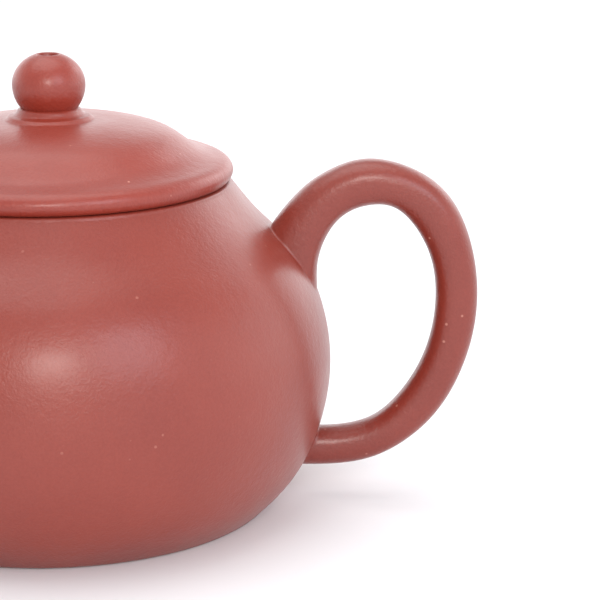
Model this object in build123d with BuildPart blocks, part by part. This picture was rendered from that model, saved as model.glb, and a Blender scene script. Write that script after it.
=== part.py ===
from build123d import *
import math
import os

# Small unglazed red-clay teapot with an overlapping domed lid, built the slab way:
# every slab, coil and rolled piece of clay is a solid of its own, luted face to face.
# Millimetres. +Z is up, the pot is round about Z, the handle is at +X, the spout at -X.
# Origin: the centre of the foot, on the table.

# ---- driving dimensions --------------------------------------------------------------
WALL = 2.6                # thickness of the beaten clay slabs
BASE_R = 29.0             # base slab radius, inside the folded-in foot of the wall
BASE_RECESS = 0.9         # the pressed-in base stands this far off the table
BASE_PRESS = 1.2          # extra height of the base at its middle
BASE_FLAT_R = 19.0        # radius of the flat middle of the base
SEAM_Z = 44.0             # the closing slab is luted on top of the side wall here
RING_Z = 48.4             # underside of the mouth ring
SEAT_Z = 50.4             # flat top of the mouth ring, where the lid rests
FOOT_R = 32.4             # outer radius of the foot, before its edge is rounded
BELLY_R = 42.3            # widest radius of the body
SEAT_R = 27.0             # outer radius of the mouth ring's top
BORE_R = 21.5             # radius of the mouth opening
SHOULDER_LOW = 46.0       # the inside of the shoulder slab meets the mouth's bore here
LID_GAP = 0.3             # radial gap between the lid's flange and the mouth
FLANGE_WALL = 2.2         # thickness of the lid's flange
FLANGE_DROP = 7.4         # how far the flange reaches down into the mouth
LIP_R = 27.5              # outer radius of the lid's rounded lip
LIP_ROUND = 1.3           # the lip curves under over this distance
DOME_R = 24.6             # radius of the dome slab, luted into the rim ring
DOME_WALL = 2.0           # thickness of the dome slab
DOME_FOOT = 2.2           # width of the dome slab's edge, luted to the rim ring
RIM_PLATE = 1.4           # thickness of the rim ring under the dome slab
COLLAR_R = 7.4            # radius of the thin collar under the knob
COLLAR_LOW = 59.2         # the collar is shaped from here up, and cut by the dome's top
KNOB_R = 5.5              # radius of the pearl knob
KNOB_RISE = 4.87          # its upper half is flatter: height of the crown over its centre
KNOB_Z = 65.05            # height of the knob's centre
NECK_Z = 61.6             # plane where the knob sits on its collar
STEAM_R = 1.55            # steam hole, through the knob, the collar and the dome
STEAM_REACH = 22          # length of the cut that makes the steam hole
SPOUT_Z = 23.4            # height of the middle of the spout's root
STRAINER_R = 8.9          # outer radius of the ball strainer and of its hole
STRAINER_WALL = 1.7       # thickness of the strainer's shell
STRAINER_X = -39.2        # centre of the strainer's ball; behind it the strainer is a tube
STRAINER_TUBE = 6         # length of that tube, cut off by the pot's outline
HOLE_START = -34          # the wall's round hole is cut from here outwards
SIEVE_R = 0.95            # each hole of the strainer
TIP_Z = 51.2              # the spout's tip is cut level, just above the mouth
FOOT_SOFT = 0.7           # rounding of the foot's edges
RIM_SOFT = 0.45           # rounding of the mouth's and the spout's edges
FLANGE_SOFT = 0.7         # rounding of the flange's lower edges
KNOB_SOFT = 0.3           # rounding of the steam hole's upper edge

# Outline of the pot's outside, (radius, height), from the foot to the lid seat.
OUTLINE = [
    (FOOT_R, 0),
    (37.1, 5.0),
    (40.95, 13.2),
    (BELLY_R, 21.2),
    (41.0, 31.0),
    (37.1, 39.0),
    (31.3, 45.0),
    (28.7, 48.2),
    (SEAT_R, SEAT_Z),
]
OUTLINE_ENDS = [(1.0, 0.95), (-0.62, 0.8)]

# Outline of the top of the lid's dome, from the steam hole to the rim ring.
DOME_TOP = [
    (0, 59.95),
    (6.0, 59.85),
    (11.0, 59.55),
    (15.0, 58.85),
    (18.6, 57.55),
    (21.1, 55.8),
    (22.9, 54.6),
    (DOME_R, 54.0),
]
DOME_ENDS = [(-1.0, 0.28), (-1.0, 0.0)]

# Handle: outer edge and inner edge of the loop, both (x, height), then its width.
HANDLE_RIBS = [
    ((31.4, 39.9), (39.9, 29.3), 8.6),
    ((33.4, 43.6), (40.25, 33.2), 8.4),
    ((37.75, 48.85), (40.5, 38.6), 8.0),
    ((41.85, 51.75), (43.4, 44.3), 7.6),
    ((48.5, 53.6), (48.9, 46.7), 7.2),
    ((57.7, 50.35), (53.3, 45.3), 6.9),
    ((63.2, 42.2), (57.05, 39.8), 6.7),
    ((64.8, 32.5), (58.4, 32.8), 6.6),
    ((62.6, 20.9), (56.75, 23.2), 6.5),
    ((56.9, 11.8), (52.4, 15.95), 6.4),
    ((49.65, 6.9), (47.9, 12.5), 6.3),
    ((42.7, 5.5), (42.2, 11.4), 6.3),
    ((35.6, 5.5), (35.6, 11.6), 6.5),
]

# Luting clay round the handle's two roots, stated the same way.
UPPER_CLAY_RIBS = [
    ((29.9, 40.2), (40.9, 28.2), 12.0),
    ((33.0, 43.9), (40.75, 32.8), 11.2),
    ((37.55, 49.1), (40.75, 38.4), 8.5),
]
LOWER_CLAY_RIBS = [
    ((34.8, 3.6), (38.6, 11.6), 9.8),
    ((37.4, 4.6), (41.0, 12.4), 8.8),
    ((40.4, 5.2), (43.2, 11.9), 7.0),
]

# Luting clay round the spout's root: place along the spout's middle line, radius.
SPOUT_CLAY_RIBS = [
    (0.04, 14.0),
    (0.16, 12.1),
    (0.22, 10.5),
    (0.30, 9.2),
]

# Spout: its middle line, (x, height), then place along it (0 to 1), outer and inner radius.
SPOUT_LINE = [(-36.0, 22.4), (-48.0, 27.6), (-56.8, 38.0), (-60.8, 52.6)]
SPOUT_ENDS = [(-1.0, 0.16), (-0.12, 1.0)]
SPOUT_RIBS = [
    (0.00, 11.8, 7.2),
    (0.14, 10.6, 7.2),
    (0.30, 8.9, 6.3),
    (0.48, 7.2, 5.0),
    (0.66, 6.0, 4.1),
    (0.84, 5.1, 3.5),
    (1.00, 4.5, 3.1),
]

# ---- worked out from those -----------------------------------------------------------
FLANGE_R = BORE_R - LID_GAP           # outer radius of the lid's flange
FLANGE_IN = FLANGE_R - FLANGE_WALL    # inner radius of the lid's flange
UPWARDS = (Align.CENTER, Align.CENTER, Align.MIN)
DOWNWARDS = (Align.CENTER, Align.CENTER, Align.MAX)


def inset(edge, depth, places):
    """Points at one depth behind an edge drawn upwards, at places along it (0 to 1)."""
    points = []
    for place in places:
        run = edge % place
        points.append(edge @ place + Vector(-run.Y, run.X) * depth)
    return points


def rib_plane(outer, inner):
    """Plane across the handle: its x direction runs from the inner to the outer edge."""
    start = Vector(inner[0], 0, inner[1])
    end = Vector(outer[0], 0, outer[1])
    across = end - start
    return Plane(origin=(start + end) * 0.5, x_dir=across, z_dir=across.cross(Vector(0, 1, 0)))


def rib_length(outer, inner):
    """Distance between the handle's outer and inner edge."""
    return (Vector(*outer) - Vector(*inner)).length


os.makedirs("parts", exist_ok=True)

# ---- shapes that the clay pieces are cut with ----------------------------------------
with BuildLine() as outline:
    Spline(*OUTLINE, tangents=OUTLINE_ENDS)
skin = outline.edges()[0]
behind = inset(skin, WALL, [0.18, 0.32, 0.46, 0.60, 0.72, 0.82, 0.90])

with BuildPart() as pot_outside:
    with BuildSketch(Plane.XZ):
        with BuildLine():
            Spline(*OUTLINE, tangents=OUTLINE_ENDS)
            Polyline((SEAT_R, SEAT_Z), (0, SEAT_Z), (0, 0), (FOOT_R, 0))
        make_face()
    revolve(axis=Axis.Z)

with BuildPart() as pot_inside:
    with BuildSketch(Plane.XZ):
        with BuildLine():
            Spline((BASE_R, BASE_RECESS + WALL), *behind, tangents=[(1.0, 0.25), (-0.62, 0.8)])
            Polyline(
                behind[-1],
                (BORE_R, SHOULDER_LOW),
                (BORE_R, SEAT_Z),
                (0, SEAT_Z),
                (0, 0),
                (BASE_R, 0),
                (BASE_R, BASE_RECESS + WALL),
            )
        make_face()
    revolve(axis=Axis.Z)

# ---- pot: base slab, pressed in ------------------------------------------------------
with BuildPart() as base_slab:
    with BuildSketch(Plane.XZ):
        with BuildLine():
            low = BASE_RECESS
            high = BASE_RECESS + BASE_PRESS
            Spline((BASE_R, low), (BASE_FLAT_R, high), tangents=[(-1.0, 0.2), (-1.0, 0.0)])
            Polyline((BASE_FLAT_R, high), (0, high), (0, high + WALL), (BASE_FLAT_R, high + WALL))
            Spline(
                (BASE_FLAT_R, high + WALL),
                (BASE_R, low + WALL),
                tangents=[(1.0, 0.0), (1.0, -0.2)],
            )
            Line((BASE_R, low + WALL), (BASE_R, low))
        make_face()
    revolve(axis=Axis.Z)
base_slab.part.label = "base_slab"

# ---- pot: side wall, with the round hole behind the spout ----------------------------
with BuildPart() as side_wall:
    add(pot_outside.part)
    add(pot_inside.part, mode=Mode.SUBTRACT)
    split(bisect_by=Plane.XY.offset(SEAM_Z), keep=Keep.BOTTOM)
    fillet(side_wall.edges().filter_by(GeomType.CIRCLE).group_by(Axis.Z)[0], FOOT_SOFT)
    with BuildSketch(Plane.YZ.offset(HOLE_START)):
        with Locations((0, SPOUT_Z)):
            Circle(STRAINER_R)
    extrude(amount=-12, mode=Mode.SUBTRACT)
side_wall.part.label = "side_wall"

# ---- pot: shoulder slab that closes the body -----------------------------------------
with BuildPart() as shoulder_slab:
    add(pot_outside.part)
    add(pot_inside.part, mode=Mode.SUBTRACT)
    split(bisect_by=Plane.XY.offset(SEAM_Z), keep=Keep.TOP)
    split(bisect_by=Plane.XY.offset(RING_Z), keep=Keep.BOTTOM)
shoulder_slab.part.label = "shoulder_slab"

# ---- pot: mouth ring, the seat of the lid --------------------------------------------
with BuildPart() as mouth_ring:
    add(pot_outside.part)
    add(pot_inside.part, mode=Mode.SUBTRACT)
    split(bisect_by=Plane.XY.offset(RING_Z), keep=Keep.TOP)
    fillet(mouth_ring.edges().group_by(Axis.Z)[-1], RIM_SOFT)
mouth_ring.part.label = "mouth_ring"

# ---- pot: ball strainer, set into the wall's hole ------------------------------------
with BuildPart() as ball_strainer:
    with Locations((STRAINER_X, 0, SPOUT_Z)):
        Sphere(STRAINER_R)
    split(bisect_by=Plane.YZ.offset(STRAINER_X), keep=Keep.TOP)
    with BuildSketch(Plane.YZ.offset(STRAINER_X)):
        with Locations((0, SPOUT_Z)):
            Circle(STRAINER_R)
    extrude(amount=-STRAINER_TUBE)
    with Locations((STRAINER_X, 0, SPOUT_Z)):
        Sphere(STRAINER_R - STRAINER_WALL, mode=Mode.SUBTRACT)
    with BuildSketch(Plane.YZ.offset(STRAINER_X)):
        with Locations((0, SPOUT_Z)):
            Circle(STRAINER_R - STRAINER_WALL)
    extrude(amount=-STRAINER_TUBE, mode=Mode.SUBTRACT)
    add(pot_outside.part, mode=Mode.INTERSECT)
    for lean, count in ((0, 1), (27, 6), (53, 11)):
        for turn in range(count):
            aim = Vector(1, 0, 0).rotate(Axis.Y, lean).rotate(Axis.X, 360 * turn / count)
            with BuildSketch(Plane(origin=Vector(STRAINER_X, 0, SPOUT_Z) + aim * 5, z_dir=aim)):
                Circle(SIEVE_R)
            extrude(amount=6, mode=Mode.SUBTRACT)
ball_strainer.part.label = "ball_strainer"

# ---- pot: spout ----------------------------------------------------------------------
with BuildLine(Plane.XZ) as spout_line:
    Spline(*SPOUT_LINE, tangents=SPOUT_ENDS)
middle = spout_line.edges()[0]

with BuildPart() as spout:
    for place, radius, bore in SPOUT_RIBS:
        with BuildSketch(Plane(origin=middle @ place, x_dir=(0, 1, 0), z_dir=middle % place)):
            Circle(radius)
    loft()
    for place, radius, bore in SPOUT_RIBS:
        with BuildSketch(Plane(origin=middle @ place, x_dir=(0, 1, 0), z_dir=middle % place)):
            Circle(bore)
    loft(mode=Mode.SUBTRACT)
    split(bisect_by=Plane.XY.offset(TIP_Z), keep=Keep.BOTTOM)
    fillet(spout.edges().group_by(Axis.Z)[-1], RIM_SOFT)
    add(pot_outside.part, mode=Mode.SUBTRACT)
spout.part.label = "spout"

# ---- pot: handle ---------------------------------------------------------------------
with BuildPart() as handle:
    for outer, inner, width in HANDLE_RIBS:
        with BuildSketch(rib_plane(outer, inner)):
            Ellipse(rib_length(outer, inner) / 2, width / 2)
    loft()
    add(pot_outside.part, mode=Mode.SUBTRACT)
handle.part.label = "handle"

# ---- lid: dome slab ------------------------------------------------------------------
with BuildLine() as dome_line:
    Spline(*reversed(DOME_TOP), tangents=DOME_ENDS)
crown = dome_line.edges()[0]
under = inset(crown, DOME_WALL, [0.25, 0.4, 0.55, 0.7, 0.85])

with BuildPart() as lid_dome:
    with BuildSketch(Plane.XZ):
        with BuildLine():
            Spline(*reversed(DOME_TOP), tangents=DOME_ENDS)
            Spline(
                (DOME_R - DOME_FOOT, SEAT_Z + RIM_PLATE),
                *under,
                (0, DOME_TOP[0][1] - DOME_WALL),
                tangents=[(-1.0, 0.5), (-1.0, 0.0)],
            )
            Line((0, DOME_TOP[0][1] - DOME_WALL), DOME_TOP[0])
            Line(DOME_TOP[-1], (DOME_R, SEAT_Z + RIM_PLATE))
            Line((DOME_R, SEAT_Z + RIM_PLATE), (DOME_R - DOME_FOOT, SEAT_Z + RIM_PLATE))
        make_face()
    revolve(axis=Axis.Z)
    with Locations((0, 0, SEAT_Z)):
        Cylinder(STEAM_R, STEAM_REACH, align=UPWARDS, mode=Mode.SUBTRACT)
lid_dome.part.label = "lid_dome"

# ---- lid: rim ring with the rounded lip ----------------------------------------------
with BuildPart() as lid_rim_ring:
    with BuildSketch(Plane.XZ):
        with BuildLine():
            Line((FLANGE_IN, SEAT_Z), (LIP_R - LIP_ROUND, SEAT_Z))
            Spline(
                (LIP_R - LIP_ROUND, SEAT_Z),
                (LIP_R, SEAT_Z + LIP_ROUND),
                (LIP_R - 0.7, SEAT_Z + 2.85),
                DOME_TOP[-1],
                tangents=[(1.0, 0.0), (-1.0, 0.28)],
            )
            Polyline(
                DOME_TOP[-1],
                (DOME_R, SEAT_Z + RIM_PLATE),
                (FLANGE_IN, SEAT_Z + RIM_PLATE),
                (FLANGE_IN, SEAT_Z),
            )
        make_face()
    revolve(axis=Axis.Z)
lid_rim_ring.part.label = "lid_rim_ring"

# ---- lid: flange that drops into the mouth -------------------------------------------
with BuildPart() as lid_flange:
    with Locations((0, 0, SEAT_Z)):
        Cylinder(FLANGE_R, FLANGE_DROP, align=DOWNWARDS)
        Cylinder(FLANGE_IN, FLANGE_DROP, align=DOWNWARDS, mode=Mode.SUBTRACT)
    fillet(lid_flange.edges().group_by(Axis.Z)[0], FLANGE_SOFT)
lid_flange.part.label = "lid_flange"

# ---- lid: collar under the knob ------------------------------------------------------
with BuildPart() as knob_collar:
    with BuildSketch(Plane.XZ):
        with BuildLine():
            Polyline((COLLAR_R, COLLAR_LOW), (COLLAR_R, 59.72), (6.5, 59.95), (6.35, 60.25), (5.8, 60.45))
            ThreePointArc((5.8, 60.45), (5.0, 60.85), (4.4, NECK_Z))
            Polyline((4.4, NECK_Z), (0, NECK_Z), (0, COLLAR_LOW), (COLLAR_R, COLLAR_LOW))
        make_face()
    revolve(axis=Axis.Z)
    add(lid_dome.part, mode=Mode.SUBTRACT)
    with Locations((0, 0, SEAT_Z)):
        Cylinder(STEAM_R, STEAM_REACH, align=UPWARDS, mode=Mode.SUBTRACT)
knob_collar.part.label = "knob_collar"

# ---- lid: pearl knob -----------------------------------------------------------------
NECK_R = math.sqrt(KNOB_R**2 - (KNOB_Z - NECK_Z) ** 2)
NECK_ANGLE = math.degrees(math.asin((KNOB_Z - NECK_Z) / KNOB_R))
with BuildPart() as knob:
    with BuildSketch(Plane.XZ):
        with BuildLine():
            CenterArc((0, KNOB_Z), KNOB_R, 0, -NECK_ANGLE)
            EllipticalCenterArc((0, KNOB_Z), KNOB_R, KNOB_RISE, start_angle=0, arc_size=90)
            Polyline((0, KNOB_Z + KNOB_RISE), (0, NECK_Z), (NECK_R, NECK_Z))
        make_face()
    revolve(axis=Axis.Z)
    with Locations((0, 0, SEAT_Z)):
        Cylinder(STEAM_R, STEAM_REACH, align=UPWARDS, mode=Mode.SUBTRACT)
    fillet(knob.edges().group_by(Axis.Z)[-1], KNOB_SOFT)
knob.part.label = "knob"

# ---- pot: luting clay worked round the three joints ----------------------------------
with BuildPart() as spout_joint_clay:
    for place, spread in SPOUT_CLAY_RIBS:
        with BuildSketch(Plane(origin=middle @ place, x_dir=(0, 1, 0), z_dir=middle % place)):
            Circle(spread)
    loft()
    for place, radius, bore in SPOUT_RIBS:
        with BuildSketch(Plane(origin=middle @ place, x_dir=(0, 1, 0), z_dir=middle % place)):
            Circle(radius)
    loft(mode=Mode.SUBTRACT)
    add(pot_outside.part, mode=Mode.SUBTRACT)
spout_joint_clay.part.label = "spout_joint_clay"

with BuildPart() as handle_upper_joint_clay:
    for outer, inner, width in UPPER_CLAY_RIBS:
        with BuildSketch(rib_plane(outer, inner)):
            Ellipse(rib_length(outer, inner) / 2, width / 2)
    loft()
    add(pot_outside.part, mode=Mode.SUBTRACT)
    add(handle.part, mode=Mode.SUBTRACT)
handle_upper_joint_clay.part.label = "handle_upper_joint_clay"

with BuildPart() as handle_lower_joint_clay:
    for outer, inner, width in LOWER_CLAY_RIBS:
        with BuildSketch(rib_plane(outer, inner)):
            Ellipse(rib_length(outer, inner) / 2, width / 2)
    loft()
    add(pot_outside.part, mode=Mode.SUBTRACT)
    add(handle.part, mode=Mode.SUBTRACT)
handle_lower_joint_clay.part.label = "handle_lower_joint_clay"

# ---- one file for each piece ---------------------------------------------------------
PIECES = (
    base_slab,
    side_wall,
    shoulder_slab,
    mouth_ring,
    ball_strainer,
    spout,
    spout_joint_clay,
    handle,
    handle_upper_joint_clay,
    handle_lower_joint_clay,
    lid_dome,
    lid_rim_ring,
    lid_flange,
    knob_collar,
    knob,
)
for piece in PIECES:
    export_step(piece.part, f"parts/{piece.part.label}.step")
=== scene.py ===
import bpy
import bmesh
import math
import numpy as np
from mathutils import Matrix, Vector


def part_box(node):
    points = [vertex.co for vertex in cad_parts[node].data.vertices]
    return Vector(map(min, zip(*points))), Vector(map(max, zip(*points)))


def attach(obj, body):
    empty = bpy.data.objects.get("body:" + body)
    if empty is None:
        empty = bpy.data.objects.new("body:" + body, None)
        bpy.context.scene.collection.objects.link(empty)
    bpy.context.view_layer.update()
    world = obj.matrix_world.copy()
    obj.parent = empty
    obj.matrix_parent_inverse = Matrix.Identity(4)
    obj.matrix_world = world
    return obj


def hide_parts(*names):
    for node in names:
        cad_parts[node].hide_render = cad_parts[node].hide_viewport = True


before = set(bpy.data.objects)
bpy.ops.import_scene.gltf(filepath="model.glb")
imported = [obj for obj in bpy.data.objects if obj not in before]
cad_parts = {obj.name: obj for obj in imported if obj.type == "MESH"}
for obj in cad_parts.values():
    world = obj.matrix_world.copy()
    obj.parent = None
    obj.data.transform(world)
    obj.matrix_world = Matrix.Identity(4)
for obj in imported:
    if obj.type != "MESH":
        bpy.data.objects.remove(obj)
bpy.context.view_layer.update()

# Unglazed red-clay teapot. Shapes are worked out in millimetres and built in metres, in
# the frame's own axes: +Z up through the lid's knob, handle at +X, spout at -X.
MM = 0.001
X, Y, Z = 0, 1, 2
TURN = 256                # points round a turned piece
SMALL_TURN = 160          # points round the base, the collar and the knob
LIMB_TURN = 72            # points round the handle and the spout


# ---- dimensions, millimetres, the outer ones read from the CAD pieces' own boxes -----
def lowest(node, axis):
    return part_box(node)[0][axis] / MM


def highest(node, axis):
    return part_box(node)[1][axis] / MM


BELLY_R = highest("side_wall", Y)
BASE_R = highest("base_slab", X)
BASE_LOW = lowest("base_slab", Z)
BASE_PRESS = 1.2          # rise of the pressed-in middle of the base
BASE_HIGH = BASE_LOW + BASE_PRESS
BASE_FLAT_R = 19.0        # radius of that middle
FOOT_R = 32.4             # radius of the foot, before its corner is rounded
SEAM_Z = highest("side_wall", Z)
RING_Z = highest("shoulder_slab", Z)
SEAT_Z = highest("mouth_ring", Z)
SEAT_R = 27.0             # outer radius of the seat that the lid rests on
BORE_R = 21.5             # radius of the mouth
SHOULDER_LOW = 46.0       # height of the shoulder's inner edge
FLANGE_R = highest("lid_flange", X)
FLANGE_LOW = lowest("lid_flange", Z)
LIP_R = highest("lid_rim_ring", X)
DOME_R = highest("lid_dome", X)
NECK_Z = lowest("knob", Z)
KNOB_R = highest("knob", X)
KNOB_Z = 65.05            # height of the knob's widest place
KNOB_RISE = 4.87          # rise of the knob's crown over that place, were it closed
CROWN_R = 1.95            # radius at which the crown turns into the steam hole
STRAINER_R = highest("ball_strainer", Y)
SPOUT_Z = (lowest("ball_strainer", Z) + highest("ball_strainer", Z)) / 2
TIP_Z = highest("spout", Z)
TIP_ROUND = 0.3           # rise of the spout's rounded tip
WALL = 2.6
FLANGE_WALL = 2.2
DOME_WALL = 2.0
DOME_FOOT = 2.2           # width of the dome's edge where it stands on the rim
RIM_PLATE = 1.4           # thickness of the rim's flat plate
STEAM_R = 1.55            # radius of the steam hole
COLLAR_R = 7.5
COLLAR_LOW = 59.5
ROOT_DEPTH = 1.2          # how far the handle and the spout run into the wall

# the pot's outside, the lid's top and the knob's collar, as (radius, height)
OUTLINE = [
    (FOOT_R, 0),
    (37.1, 5.0),
    (40.95, 13.2),
    (BELLY_R, 21.2),
    (41.0, 31.0),
    (37.1, 39.0),
    (31.3, 45.0),
    (28.7, 48.2),
    (SEAT_R, SEAT_Z),
]
DOME_TOP = [
    (DOME_R, 54.0),
    (22.9, 54.6),
    (21.1, 55.8),
    (18.6, 57.55),
    (15.0, 58.85),
    (11.0, 59.55),
    (6.0, 59.85),
    (0, 59.95),
]
COLLAR_SIDE = [
    (COLLAR_R, 59.7),
    (6.85, 59.82),
    (6.45, 60.05),
    (6.15, 60.33),
    (5.55, 60.5),
    (5.0, 60.85),
    (4.75, 61.3),
    (4.35, NECK_Z),
]
# across the handle, as (x, z) outside, (x, z) inside and width
HANDLE_RIBS = [
    ((31.4, 39.9), (39.9, 29.3), 8.6),
    ((33.4, 43.6), (40.25, 33.2), 8.4),
    ((37.75, 48.85), (40.5, 38.6), 8.0),
    ((41.85, 51.75), (43.4, 44.3), 7.6),
    ((48.5, 53.6), (48.9, 46.7), 7.2),
    ((57.7, 50.35), (53.3, 45.3), 6.9),
    ((63.2, 42.2), (57.05, 39.8), 6.7),
    ((64.8, 32.5), (58.4, 32.8), 6.6),
    ((62.6, 20.9), (56.75, 23.2), 6.5),
    ((56.9, 11.8), (52.4, 15.95), 6.4),
    ((49.65, 6.9), (47.9, 12.5), 6.3),
    ((42.7, 5.5), (42.2, 11.4), 6.3),
    ((35.6, 5.5), (35.6, 11.6), 6.5),
]
HANDLE_SQUARE = 2.35      # 2 would make the handle's sections ellipses
SPOUT_LINE = [(-36.0, 22.4), (-48.0, 27.6), (-56.8, 38.0), (-60.8, 52.6)]
SPOUT_START = (-1.0, 0.16)
SPOUT_END = (-0.12, 1.0)
# across the spout, as place from 0 to 1, outer radius and bore radius
SPOUT_RIBS = [
    (0.00, 11.8, 7.2),
    (0.14, 10.6, 7.2),
    (0.30, 8.9, 6.3),
    (0.48, 7.2, 5.0),
    (0.66, 6.0, 4.1),
    (0.84, 5.1, 3.5),
    (1.00, 4.5, 3.1),
]


# ---- curves --------------------------------------------------------------------------
def unit(v):
    v = np.asarray(v, float)
    return v / np.linalg.norm(v)


def hermite(t, a, b, u, v):
    """The cubic from a to b with slopes u and v, at t from 0 to 1."""
    from_a = (2 * t**3 - 3 * t**2 + 1) * a + (t**3 - 2 * t**2 + t) * u
    return from_a + (3 * t**2 - 2 * t**3) * b + (t**3 - t**2) * v


def smooth_curve(points, start, end, places):
    """Points of a smooth curve through some points, at places along it from 0 to 1."""
    knots = np.asarray(points, float)
    steps = np.linalg.norm(np.diff(knots, axis=0), axis=1)
    reach = np.concatenate([[0.0], np.cumsum(steps)])
    count = len(knots)
    system = np.zeros((count, count))
    known = np.zeros_like(knots)
    system[0, 0] = 1
    known[0] = unit(start)
    system[-1, -1] = 1
    known[-1] = unit(end)
    for i in range(1, count - 1):
        before, after = steps[i - 1], steps[i]
        system[i, i - 1] = after
        system[i, i] = 2 * (before + after)
        system[i, i + 1] = before
        run_in = after * (knots[i] - knots[i - 1]) / before
        run_out = before * (knots[i + 1] - knots[i]) / after
        known[i] = 3 * (run_in + run_out)
    slopes = np.linalg.solve(system, known)
    at = np.asarray(places, float) * reach[-1]
    span = np.clip(np.searchsorted(reach, at, side="right") - 1, 0, count - 2)
    h = steps[span][:, None]
    t = ((at - reach[span]) / steps[span])[:, None]
    a, b = knots[span], knots[span + 1]
    u, v = slopes[span] * h, slopes[span + 1] * h
    return hermite(t, a, b, u, v)


def softened(corners, radius, steps=6):
    """A closed outline with every corner rounded by about radius."""
    corners = np.asarray(corners, float)
    result = []
    for i in range(len(corners)):
        here = corners[i]
        back = corners[i - 1] - here
        ahead = corners[(i + 1) % len(corners)] - here
        r_back = min(radius, 0.45 * np.linalg.norm(back))
        r_ahead = min(radius, 0.45 * np.linalg.norm(ahead))
        p = here + unit(back) * r_back
        q = here + unit(ahead) * r_ahead
        for t in np.linspace(0, 1, steps):
            result.append((1 - t) ** 2 * p + 2 * t * (1 - t) * here + t**2 * q)
    return np.array(result)


# ---- the pot's outside as a dense line, and distance from it -------------------------
skin = smooth_curve(OUTLINE, (1.0, 0.95), (-0.62, 0.8), np.linspace(0, 1, 900))


def gap(points):
    """How far outside the pot's skin each point is, millimetres, negative inside it."""
    r = np.hypot(points[..., 0], points[..., 1])
    z = points[..., 2]
    flat = np.stack([r.ravel(), z.ravel()], 1)
    out = np.empty(len(flat))
    for i in range(0, len(flat), 4000):
        part = flat[i : i + 4000]
        d = part[:, None, :] - skin[None, :, :]
        away = np.hypot(d[..., 0], d[..., 1])
        nearest = away.argmin(1)
        edge = np.interp(part[:, 1], skin[:, 1], skin[:, 0])
        out[i : i + 4000] = away[np.arange(len(part)), nearest] * np.sign(part[:, 0] - edge)
    return out.reshape(r.shape)


def onto_skin(points):
    """The nearest point of the pot's skin to each point."""
    r = np.hypot(points[..., 0], points[..., 1])
    turn = np.arctan2(points[..., 1], points[..., 0])
    flat = np.stack([r.ravel(), points[..., 2].ravel()], 1)
    d = flat[:, None, :] - skin[None, :, :]
    nearest = skin[np.hypot(d[..., 0], d[..., 1]).argmin(1)]
    nr = nearest[:, 0].reshape(r.shape)
    nz = nearest[:, 1].reshape(r.shape)
    return np.stack([nr * np.cos(turn), nr * np.sin(turn), nz], -1)


# ---- meshes --------------------------------------------------------------------------
def hand_made(points):
    """Very slight unevenness of a hand-beaten pot. It depends on place alone, so pieces still meet."""
    x, y, z = points[..., 0], points[..., 1], points[..., 2]
    turn = np.arctan2(y, x)
    swell = 0.0012 * np.sin(2 * turn + 0.6 + z / 60) + 0.0007 * np.sin(3 * turn + 2.1 - z / 40)
    shaped = points.copy()
    shaped[..., 0] = x * (1 + swell)
    shaped[..., 1] = y * (1 + swell)
    return shaped


def grid_piece(name, rings, closed_along=False, crease=38):
    """A mesh from rings of points: every ring is closed, and the last may join the first."""
    rings = np.asarray(rings, float)
    count, around = rings.shape[:2]
    mesh = bpy.data.meshes.new(name)
    vertices = (rings.reshape(-1, 3) * MM).tolist()
    faces = []
    for i in range(count if closed_along else count - 1):
        j = (i + 1) % count
        for k in range(around):
            m = (k + 1) % around
            faces.append((i * around + k, i * around + m, j * around + m, j * around + k))
    if not closed_along:
        faces.append(tuple(reversed(range(around))))
        faces.append(tuple((count - 1) * around + k for k in range(around)))
    mesh.from_pydata(vertices, [], faces)
    work = bmesh.new()
    work.from_mesh(mesh)
    bmesh.ops.remove_doubles(work, verts=work.verts, dist=1e-7)
    bmesh.ops.recalc_face_normals(work, faces=work.faces)
    for face in work.faces:
        face.smooth = True
    for edge in work.edges:
        if len(edge.link_faces) == 2 and edge.calc_face_angle(0.0) > math.radians(crease):
            edge.smooth = False
    work.to_mesh(mesh)
    work.free()
    piece = bpy.data.objects.new(name, mesh)
    bpy.context.collection.objects.link(piece)
    return piece


def turned(name, outline, around=TURN, crease=38):
    """A piece turned round Z from a closed outline of (radius, height) points."""
    outline = np.asarray(outline, float)
    turns = np.linspace(0, 2 * math.pi, around, endpoint=False)
    rings = np.stack(
        [
            outline[:, None, 0] * np.cos(turns)[None, :],
            outline[:, None, 0] * np.sin(turns)[None, :],
            np.repeat(outline[:, None, 1], around, axis=1),
        ],
        -1,
    )
    return grid_piece(name, hand_made(rings), closed_along=True, crease=crease)


# ---- pot: wall, shoulder and mouth ring ----------------------------------------------
def skin_between(low, high, count):
    """The skin from one height to another."""
    heights = np.linspace(low, high, count)
    return np.stack([np.interp(heights, skin[:, 1], skin[:, 0]), heights], 1)


def skin_inset(depth, low, high, count):
    """A line at a constant depth behind the skin, upwards."""
    line = skin_between(low, high, count)
    run = np.gradient(line, axis=0)
    run /= np.linalg.norm(run, axis=1)[:, None]
    return line + np.stack([-run[:, 1], run[:, 0]], 1) * depth


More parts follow.
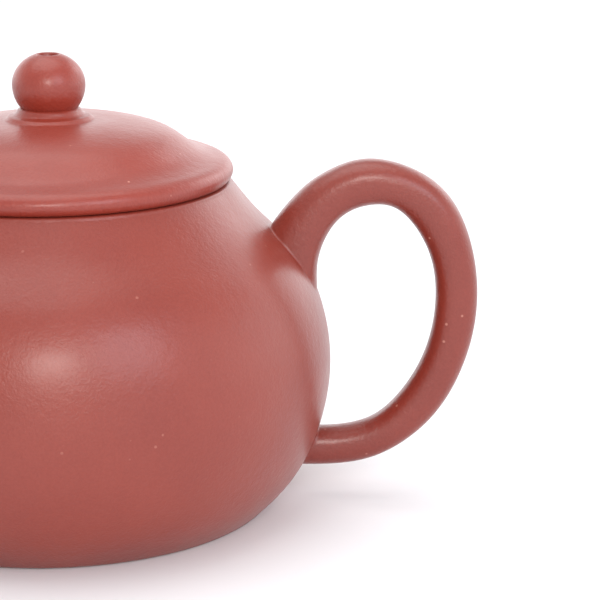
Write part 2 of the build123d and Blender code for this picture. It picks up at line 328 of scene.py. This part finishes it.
def make_side_wall():
    """The wall, folded in round the base and up to the seam, with the hole to the spout cut out."""
    outer = skin_between(0.0, SEAM_Z, 150)
    foot = np.array([(BASE_R, BASE_LOW), (BASE_R, 0.0), (FOOT_R, 0.0), (34.0, 1.45)])
    steps = 7
    foot = softened(foot, 0.8, steps)[steps : 3 * steps]
    outer = outer[outer[:, 1] > 1.6]
    inner = skin_inset(WALL, 3.0, 43.5, 90)[::-1]
    inner = inner[(inner[:, 1] > BASE_LOW + WALL + 1.0) & (inner[:, 1] < SEAM_Z)]
    top = np.array([(np.interp(SEAM_Z, *inner[::-1][:, [1, 0]].T), SEAM_Z)])
    floor = np.array([(BASE_R, BASE_LOW + WALL)])
    outline = np.concatenate([foot, outer, top, inner, floor])
    piece = turned("side_wall_clay", outline)
    drill = grid_piece("drill", ring_pair((-46, 0, SPOUT_Z), (-33, 0, SPOUT_Z), STRAINER_R, 64))
    cut = piece.modifiers.new("spout_hole", "BOOLEAN")
    cut.operation = "DIFFERENCE"
    cut.solver = "EXACT"
    cut.object = drill
    shape = bpy.data.meshes.new_from_object(piece.evaluated_get(bpy.context.evaluated_depsgraph_get()))
    piece.modifiers.clear()
    piece.data = shape
    bpy.data.objects.remove(drill)
    return piece


def ring_pair(start, end, radius, around):
    """Two rings facing along X."""
    turns = np.linspace(0, 2 * math.pi, around, endpoint=False)
    rings = []
    for centre in (start, end):
        ring = np.zeros((around, 3))
        ring[:, 0] = centre[0]
        ring[:, 1] = centre[1] + radius * np.cos(turns)
        ring[:, 2] = centre[2] + radius * np.sin(turns)
        rings.append(ring)
    return rings


def make_shoulder():
    outer = skin_between(SEAM_Z, RING_Z, 30)
    inner_low = skin_inset(WALL, 41.0, 45.5, 30)
    inner_r = np.interp(SEAM_Z, inner_low[:, 1], inner_low[:, 0])
    inner = np.array([(BORE_R, RING_Z), (BORE_R, SHOULDER_LOW), (28.6, 44.1), (inner_r, SEAM_Z)])
    return turned("shoulder_clay", np.concatenate([outer, inner]))


def make_mouth_ring():
    side = skin_between(RING_Z, SEAT_Z - 0.45, 10)
    side_r = side[-1][0]
    edge = np.array([(side_r - 0.05, SEAT_Z - 0.24), (side_r - 0.2, SEAT_Z - 0.08), (side_r - 0.5, SEAT_Z)])
    bore = np.array([(BORE_R + 0.5, SEAT_Z), (BORE_R + 0.16, SEAT_Z - 0.12), (BORE_R, SEAT_Z - 0.45)])
    return turned("mouth_ring_clay", np.concatenate([side, edge, bore, [(BORE_R, RING_Z)]]))


def make_base():
    places = np.linspace(0, 1, 12)
    lower = smooth_curve([(BASE_R, BASE_LOW), (BASE_FLAT_R, BASE_HIGH)], (-1, 0.2), (-1, 0), places)
    middle = np.array([(0.02, BASE_HIGH), (0.02, BASE_HIGH + WALL)])
    rise = [(BASE_FLAT_R, BASE_HIGH + WALL), (BASE_R, BASE_LOW + WALL)]
    upper = smooth_curve(rise, (1, 0), (1, -0.2), places)
    return turned("base_slab_clay", np.concatenate([lower, middle, upper]), around=SMALL_TURN)


# ---- lid -----------------------------------------------------------------------------
def make_rim():
    """The lid's rounded lip, and the flat plate that rests on the mouth."""
    inner_r = FLANGE_R - FLANGE_WALL
    lip = smooth_curve(
        [(LIP_R - 1.35, SEAT_Z + 0.02), (LIP_R, SEAT_Z + 1.35), (LIP_R - 0.7, SEAT_Z + 2.85), DOME_TOP[0]],
        (1, 0),
        (-1, 0.28),
        np.linspace(0, 1, 40),
    )
    rest = np.array([(DOME_R, SEAT_Z + RIM_PLATE), (inner_r, SEAT_Z + RIM_PLATE), (inner_r, SEAT_Z)])
    return turned("lid_rim_clay", np.concatenate([[(FLANGE_R, SEAT_Z)], lip, rest]))


def make_dome():
    top = smooth_curve(DOME_TOP, (-1, 0.28), (-1, 0), np.linspace(0, 1, 90))
    top = top[top[:, 0] > STEAM_R]
    top = np.concatenate([top, [(STEAM_R, top[-1][1])]])
    run = np.gradient(top, axis=0)
    run /= np.linalg.norm(run, axis=1)[:, None]
    under = top + np.stack([-run[:, 1], run[:, 0]], 1) * DOME_WALL
    under = under[(under[:, 0] < DOME_R - 3.4) & (under[:, 1] > SEAT_Z + RIM_PLATE + 0.5)][::-1]
    under[0, 0] = STEAM_R
    foot = np.array([(DOME_R - DOME_FOOT, SEAT_Z + RIM_PLATE), (DOME_R, SEAT_Z + RIM_PLATE)])
    return turned("lid_dome_clay", np.concatenate([top, under, foot]))


def make_flange():
    inner_r = FLANGE_R - FLANGE_WALL
    low = FLANGE_LOW
    inner_edge = np.array([(inner_r, low + 0.8), (inner_r + 0.2, low + 0.25), (inner_r + 0.75, low)])
    outer_edge = np.array([(FLANGE_R - 0.75, low), (FLANGE_R - 0.2, low + 0.25), (FLANGE_R, low + 0.8)])
    top = np.array([(FLANGE_R, SEAT_Z), (inner_r, SEAT_Z)])
    return turned("lid_flange_clay", np.concatenate([inner_edge, outer_edge, top]))


def make_collar():
    outer = smooth_curve(COLLAR_SIDE, (-1, 0.05), (-0.8, 0.4), np.linspace(0, 1, 60))
    rest = np.array([(STEAM_R, NECK_Z), (STEAM_R, COLLAR_LOW + 0.1), (COLLAR_R, COLLAR_LOW)])
    return turned("knob_collar_clay", np.concatenate([outer, rest]), around=SMALL_TURN)


def make_knob():
    """A ball below its widest place and a slightly flatter crown above, with the steam hole."""
    low = math.asin((NECK_Z - KNOB_Z) / KNOB_R)
    high = math.acos(CROWN_R / KNOB_R)
    lean = np.linspace(low, high, 80)
    rise = np.where(lean > 0, KNOB_RISE, KNOB_R)
    ball = np.stack([KNOB_R * np.cos(lean), KNOB_Z + rise * np.sin(lean)], 1)
    top = ball[-1][1]
    crown = np.array([(1.8, top + 0.02), (1.68, top - 0.03), (1.6, top - 0.14), (STEAM_R, top - 0.32)])
    bore = np.array([(STEAM_R, NECK_Z)])
    return turned("knob_clay", np.concatenate([ball, crown, bore]), around=SMALL_TURN)


# ---- handle and spout, with the clay worked round their roots ------------------------
def handle_rings(count, around):
    """Rings across the handle from the upper root to the lower one, with their outward directions."""
    ribs = np.array([(*outer, *inner, width) for outer, inner, width in HANDLE_RIBS], float)
    middle = (ribs[:, 0:2] + ribs[:, 2:4]) / 2
    reach = np.concatenate([[0], np.cumsum(np.linalg.norm(np.diff(middle, axis=0), axis=1))])
    line = even_curve(reach / reach[-1], ribs, np.linspace(0, 1, count))
    turns = np.linspace(0, 2 * math.pi, around, endpoint=False)
    power = 2 / HANDLE_SQUARE
    across = np.sign(np.cos(turns)) * np.abs(np.cos(turns)) ** power
    sideways = np.sign(np.sin(turns)) * np.abs(np.sin(turns)) ** power
    centre = (line[:, 0:2] + line[:, 2:4]) / 2
    half = (line[:, 0:2] - line[:, 2:4]) / 2
    rings = np.zeros((count, around, 3))
    rings[..., 0] = centre[:, None, 0] + half[:, None, 0] * across[None, :]
    rings[..., 2] = centre[:, None, 1] + half[:, None, 1] * across[None, :]
    rings[..., 1] = (line[:, 4] / 2)[:, None] * sideways[None, :]
    away = rings - np.stack([centre[:, 0], np.zeros(count), centre[:, 1]], 1)[:, None, :]
    away /= np.linalg.norm(away, axis=-1)[..., None]
    return rings, away


def even_curve(knots, values, places):
    """Values between knots on a natural cubic spline."""
    count = len(knots)
    step = np.diff(knots)
    system = np.eye(count)
    known = np.zeros_like(values)
    for i in range(1, count - 1):
        system[i, i - 1 : i + 2] = step[i - 1], 2 * (step[i - 1] + step[i]), step[i]
        rise = (values[i + 1] - values[i]) / step[i]
        known[i] = 6 * (rise - (values[i] - values[i - 1]) / step[i - 1])
    bend = np.linalg.solve(system, known)
    span = np.clip(np.searchsorted(knots, places, side="right") - 1, 0, count - 2)
    h = step[span][:, None]
    t = (places - knots[span])[:, None]
    u = h - t
    cubic = (bend[span] * u**3 + bend[span + 1] * t**3) / (6 * h)
    a = values[span] / h - bend[span] * h / 6
    b = values[span + 1] / h - bend[span + 1] * h / 6
    return cubic + a * u + b * t


def smooth_values(knots, values, places):
    """Values between knots, with each knot's slope taken from its neighbours."""
    slope = np.gradient(values, knots, axis=0)
    span = np.clip(np.searchsorted(knots, places, side="right") - 1, 0, len(knots) - 2)
    h = (knots[span + 1] - knots[span])[:, None]
    t = (places - knots[span])[:, None] / h
    a, b = values[span], values[span + 1]
    u, v = slope[span] * h, slope[span + 1] * h
    return hermite(t, a, b, u, v)


def spout_rings(count, around, which):
    """Rings across the spout; which is 1 for the outside and 2 for the bore."""
    places = np.linspace(0, 1, count)
    line = smooth_curve(SPOUT_LINE, SPOUT_START, SPOUT_END, places)
    ahead = smooth_curve(SPOUT_LINE, SPOUT_START, SPOUT_END, np.minimum(places + 0.004, 1.0))
    behind = smooth_curve(SPOUT_LINE, SPOUT_START, SPOUT_END, np.maximum(places - 0.004, 0.0))
    run = ahead - behind
    run /= np.linalg.norm(run, axis=1)[:, None]
    ribs = np.array(SPOUT_RIBS)
    radius = smooth_values(ribs[:, 0], ribs[:, which : which + 1], places)[:, 0]
    turns = np.linspace(0, 2 * math.pi, around, endpoint=False)
    across = np.stack([-run[:, 1], run[:, 0]], 1)
    away = np.zeros((count, around, 3))
    away[..., 0] = across[:, None, 0] * np.cos(turns)[None, :]
    away[..., 2] = across[:, None, 1] * np.cos(turns)[None, :]
    away[..., 1] = np.sin(turns)[None, :]
    centre = np.stack([line[:, 0], np.zeros(count), line[:, 1]], 1)
    return centre[:, None, :] + away * radius[:, None, None], away


def along(rings, level, measure, rising):
    """Where each lengthwise line of the rings passes a level of some measure."""
    value = measure(rings)
    count, around = value.shape
    places = np.zeros(around)
    for k in range(around):
        column = value[:, k] if rising else value[::-1, k]
        over = np.where(column > level)[0]
        i = max(int(over[0]) if len(over) else count - 1, 1)
        t = (level - column[i - 1]) / (column[i] - column[i - 1])
        place = i - 1 + t
        places[k] = place if rising else count - 1 - place
    return places


def pick(rings, places):
    """Points of the lengthwise lines at fractional places, one each."""
    low = np.clip(np.floor(places).astype(int), 0, len(rings) - 2)
    t = (places - low)[:, None]
    column = np.arange(rings.shape[1])
    return rings[low, column] * (1 - t) + rings[low + 1, column] * t


def resampled(rings, first, last, count):
    """The same surface, running from one place to another on every lengthwise line."""
    return np.stack([pick(rings, first + (last - first) * s) for s in np.linspace(0, 1, count)])


def root_clay(name, rings, away, rising, up, out):
    """A concave fillet of clay round a root: up along the limb, out over the pot."""
    contact = pick(rings, along(rings, 0.0, gap, rising))
    limb = pick(rings, along(rings, up, gap, rising))
    normal = pick(away, along(rings, 0.0, gap, rising))
    skin_out = onto_skin(contact + normal * 0.05)
    nearby = onto_skin(skin_out + normal * out)
    fillet = []
    for t in np.linspace(0, 1, 9):
        fillet.append((1 - t) ** 2 * limb + 2 * t * (1 - t) * contact + t**2 * nearby)
    inside = contact - normal * 0.35
    inside = inside + (onto_skin(inside) - inside) * 1.25
    fillet.append(inside)
    return grid_piece(name, np.stack([hand_made(ring) for ring in fillet]), closed_along=True, crease=60)


def make_handle():
    """The handle roll, with the lines and directions that its root clay is worked from."""
    rings, away = handle_rings(520, LIMB_TURN)
    first = along(rings, -ROOT_DEPTH, gap, True)
    last = along(rings, -ROOT_DEPTH, gap, False)
    body = resampled(rings, first, last, 200)
    return grid_piece("handle_clay", hand_made(body)), rings, away


def height(points):
    return points[..., 2]


def make_spout():
    """The hollow spout, with the lines and directions that its root clay is worked from."""
    outer, away = spout_rings(400, LIMB_TURN, 1)
    bore, _ = spout_rings(400, LIMB_TURN, 2)
    round_low = TIP_Z - TIP_ROUND
    first = along(outer, -ROOT_DEPTH, gap, True)
    last = along(outer, round_low, height, True)
    outside = resampled(outer, first, last, 110)
    inner_first = along(bore, -0.4, gap, True)
    inner_last = along(bore, round_low, height, True)
    inside = resampled(bore, inner_first, inner_last, 80)[::-1]
    lip_out = outside[-1]
    lip_in = inside[0]
    lip = []
    for t in np.linspace(0, 1, 9)[1:-1]:
        ring = lip_out * (1 - t) + lip_in * t
        ring[:, 2] = round_low + TIP_ROUND * math.sqrt(max(0.0, 1 - (2 * t - 1) ** 4))
        lip.append(ring)
    body = np.concatenate([outside, lip, inside])
    return grid_piece("spout_clay", body, closed_along=True, crease=60), outer, away


side_wall = make_side_wall()
shoulder = make_shoulder()
mouth_ring = make_mouth_ring()
base_slab = make_base()
lid_rim = make_rim()
lid_dome = make_dome()
lid_flange = make_flange()
knob_collar = make_collar()
knob = make_knob()
handle, handle_lines, handle_away = make_handle()
spout, spout_lines, spout_away = make_spout()
upper_clay = root_clay("handle_upper_root_clay", handle_lines, handle_away, True, 0.5, 0.4)
lower_clay = root_clay("handle_lower_root_clay", handle_lines, handle_away, False, 0.6, 0.45)
spout_clay = root_clay("spout_root_clay", spout_lines, spout_away, True, 3.0, 2.6)


# ---- clay ----------------------------------------------------------------------------
def linear(r, g, b):
    """Screen colour, 0 to 255, as linear light."""
    levels = []
    for level in (r, g, b):
        c = level / 255
        levels.append(c / 12.92 if c <= 0.04045 else ((c + 0.055) / 1.055) ** 2.4)
    return (*levels, 1.0)


def grey(level):
    return (level, level, level, 1.0)


def clay(name, pale, deep, roughness, sheen, grain, specks):
    """Burnished or plain fired clay: soft mottling, fine grain and stray pale specks."""
    material = bpy.data.materials.new(name)
    material.use_nodes = True
    nodes = material.node_tree.nodes
    links = material.node_tree.links
    shader = nodes["Principled BSDF"]
    place = nodes.new("ShaderNodeTexCoord")

    def noise(scale, detail, rough=0.5):
        node = nodes.new("ShaderNodeTexNoise")
        node.inputs["Scale"].default_value = scale
        node.inputs["Detail"].default_value = detail
        node.inputs["Roughness"].default_value = rough
        links.new(place.outputs["Object"], node.inputs["Vector"])
        return node.outputs["Fac"]

    def ramp(value, *stops):
        node = nodes.new("ShaderNodeValToRGB")
        while len(node.color_ramp.elements) < len(stops):
            node.color_ramp.elements.new(0.5)
        for element, (position, colour) in zip(node.color_ramp.elements, stops):
            element.position = position
            element.color = colour
        links.new(value, node.inputs["Fac"])
        return node.outputs["Color"]

    def mix(factor, a, b, blend="MIX"):
        node = nodes.new("ShaderNodeMix")
        node.data_type = "RGBA"
        node.blend_type = blend
        for input_name, value in (("Factor", factor), ("A", a), ("B", b)):
            if hasattr(value, "links"):
                links.new(value, node.inputs[input_name])
            else:
                node.inputs[input_name].default_value = value
        return node.outputs["Result"]

    def bump(level, distance):
        node = nodes.new("ShaderNodeBump")
        node.inputs["Strength"].default_value = grain
        node.inputs["Distance"].default_value = distance
        links.new(level, node.inputs["Height"])
        return node

    mottle = ramp(noise(55, 4, 0.55), (0.36, deep), (0.64, pale))
    fine = ramp(noise(2400, 2, 0.6), (0.35, grey(0.0)), (0.65, grey(1.0)))
    tone = mix(0.45, mottle, mix(fine, deep, pale))
    cells = nodes.new("ShaderNodeTexVoronoi")
    cells.inputs["Scale"].default_value = 330
    cells.inputs["Randomness"].default_value = 1.0
    links.new(place.outputs["Object"], cells.inputs["Vector"])
    dots = ramp(cells.outputs["Distance"], (0.0, grey(1.0)), (0.055, grey(1.0)), (0.085, grey(0.0)))
    rare = ramp(noise(140, 1), (0.54, grey(0.0)), (0.60, grey(specks)))
    pale_dot = mix(1.0, dots, rare, "MULTIPLY")
    spotted = mix(pale_dot, tone, linear(214, 150, 132))
    links.new(spotted, shader.inputs["Base Color"])

    polish = ramp(noise(130, 3), (0.3, grey(roughness - 0.035)), (0.7, grey(roughness + 0.045)))
    links.new(polish, shader.inputs["Roughness"])
    shader.inputs["IOR"].default_value = 1.5
    shader.inputs["Coat Weight"].default_value = 0.3
    shader.inputs["Coat Roughness"].default_value = 0.25
    shader.inputs["Sheen Weight"].default_value = sheen
    shader.inputs["Sheen Roughness"].default_value = 0.35
    shader.inputs["Sheen Tint"].default_value = (1.0, 0.93, 0.91, 1.0)

    peel = bump(noise(700, 3, 0.6), 0.00010)
    pores = bump(noise(2600, 2, 0.6), 0.00006)
    links.new(peel.outputs["Normal"], pores.inputs["Normal"])
    links.new(pores.outputs["Normal"], shader.inputs["Normal"])
    return material


body_clay = clay(
    "body_clay",
    pale=linear(139, 53, 39),
    deep=linear(129, 44, 31),
    roughness=0.40,
    sheen=0.02,
    grain=1.0,
    specks=0.22,
)
lid_clay = clay(
    "lid_clay",
    pale=linear(146, 53, 38),
    deep=linear(134, 43, 30),
    roughness=0.40,
    sheen=0.02,
    grain=1.0,
    specks=0.8,
)
handle_clay = clay(
    "handle_clay",
    pale=linear(133, 50, 37),
    deep=linear(121, 41, 29),
    roughness=0.38,
    sheen=0.02,
    grain=1.0,
    specks=0.45,
)
inner_clay = clay(
    "inner_clay",
    pale=linear(124, 57, 45),
    deep=linear(112, 48, 37),
    roughness=0.62,
    sheen=0.05,
    grain=0.9,
    specks=0.6,
)

PIECES = (
    (side_wall, "pot", "side_wall", body_clay, "body_clay"),
    (shoulder, "pot", "shoulder_slab", body_clay, "body_clay"),
    (mouth_ring, "pot", "mouth_ring", body_clay, "body_clay"),
    (base_slab, "pot", "base_slab", inner_clay, "inner_clay"),
    (spout, "pot", "spout", body_clay, "body_clay"),
    (spout_clay, "pot", "spout_joint_clay", body_clay, "body_clay"),
    (handle, "pot", "handle", handle_clay, "handle_clay"),
    (upper_clay, "pot", "handle_upper_joint_clay", handle_clay, "handle_clay"),
    (lower_clay, "pot", "handle_lower_joint_clay", handle_clay, "handle_clay"),
    (lid_dome, "lid", "lid_dome", lid_clay, "lid_clay"),
    (lid_rim, "lid", "lid_rim_ring", lid_clay, "lid_clay"),
    (lid_flange, "lid", "lid_flange", inner_clay, "inner_clay"),
    (knob_collar, "lid", "knob_collar", lid_clay, "lid_clay"),
    (knob, "lid", "knob", lid_clay, "lid_clay"),
)
for piece, rider, node, material, slot in PIECES:
    piece.data.materials.clear()
    piece.data.materials.append(material)
    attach(piece, rider)
    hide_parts(node)

# the strainer keeps its CAD shape and only takes the clay
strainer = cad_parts["ball_strainer"]
for i in range(len(strainer.material_slots)):
    strainer.material_slots[i].material = inner_clay


# ---- white table, white room, soft light, camera -------------------------------------
def white_table(reach):
    """A square sheet of white paper under the pot, reaching as far as that each way."""
    mesh = bpy.data.meshes.new("table")
    corners = [(-reach, -reach, 0), (reach, -reach, 0), (reach, reach, 0), (-reach, reach, 0)]
    mesh.from_pydata(corners, [], [(0, 1, 2, 3)])
    table = bpy.data.objects.new("table", mesh)
    bpy.context.collection.objects.link(table)
    material = bpy.data.materials.new("white_paper")
    material.use_nodes = True
    shader = material.node_tree.nodes["Principled BSDF"]
    shader.inputs["Base Color"].default_value = (0.84, 0.845, 0.86, 1)
    shader.inputs["Roughness"].default_value = 0.7
    mesh.materials.append(material)


def soft_box(name, place, aim, size, power, colour):
    """A rectangular studio light, with its size in metres and its power in watts."""
    data = bpy.data.lights.new(name, "AREA")
    data.shape = "RECTANGLE"
    data.size, data.size_y = size
    data.energy = power
    data.color = colour
    light = bpy.data.objects.new(name, data)
    light.location = place
    light.rotation_euler = (Vector(aim) - Vector(place)).to_track_quat("-Z", "Y").to_euler()
    light.visible_camera = False
    bpy.context.collection.objects.link(light)


def white_room(front, back, ceiling):
    """A white room: dim on the camera's side, bright behind and to the right, dimmer again overhead."""
    world = bpy.data.worlds.new("white_room")
    world.use_nodes = True
    nodes = world.node_tree.nodes
    links = world.node_tree.links
    place = nodes.new("ShaderNodeTexCoord")
    split = nodes.new("ShaderNodeSeparateXYZ")
    links.new(place.outputs["Generated"], split.inputs["Vector"])

    def ramp(value, low, high, start, end):
        node = nodes.new("ShaderNodeMapRange")
        node.interpolation_type = "SMOOTHSTEP"
        node.inputs["From Min"].default_value = low
        node.inputs["From Max"].default_value = high
        for name, level in (("To Min", start), ("To Max", end)):
            if hasattr(level, "links"):
                links.new(level, node.inputs[name])
            else:
                node.inputs[name].default_value = level
        links.new(value, node.inputs["Value"])
        return node.outputs["Result"]

    towards_window = nodes.new("ShaderNodeVectorMath")
    towards_window.operation = "DOT_PRODUCT"
    towards_window.inputs[1].default_value = (0.26, 0.966, 0.0)
    links.new(place.outputs["Generated"], towards_window.inputs[0])
    wall = ramp(towards_window.outputs["Value"], -0.6, 0.5, front, back)
    level = ramp(split.outputs["Z"], 0.2, 0.65, wall, ceiling)
    links.new(level, nodes["Background"].inputs["Strength"])
    nodes["Background"].inputs["Color"].default_value = (0.975, 0.985, 1.0, 1)
    bpy.context.scene.world = world


white_table(0.95)
white_room(0.9, 2.05, 0.75)
soft_box("top_light", (-0.1, 0.05, 0.85), (0, 0, 0.03), (0.8, 0.8), 3.6, (1.0, 0.985, 0.97))
soft_box("front_window", (0.075, -0.98, 0.45), (0, 0, 0.033), (0.27, 0.21), 3.6, (1.0, 0.93, 0.88))
soft_box("right_window", (0.58, -0.72, 0.52), (0, 0, 0.03), (0.42, 0.5), 2.8, (0.84, 0.88, 1.0))
soft_box("back_window", (0.65, 0.60, 0.50), (0, 0, 0.05), (0.5, 0.4), 1.2, (1.0, 0.96, 0.97))

CAMERA_PLACE = (0.0368, -0.3571, 0.1235)
CAMERA_AIM = (0.0377, 0, 0.0316)
camera_data = bpy.data.cameras.new("camera")
camera_data.lens = 144.1
camera_data.sensor_width = 36.0
camera = bpy.data.objects.new("camera", camera_data)
camera.location = CAMERA_PLACE
camera.rotation_euler = (Vector(CAMERA_AIM) - camera.location).to_track_quat("-Z", "Y").to_euler()
bpy.context.collection.objects.link(camera)
bpy.context.scene.camera = camera
bpy.context.scene.view_settings.view_transform = "Standard"
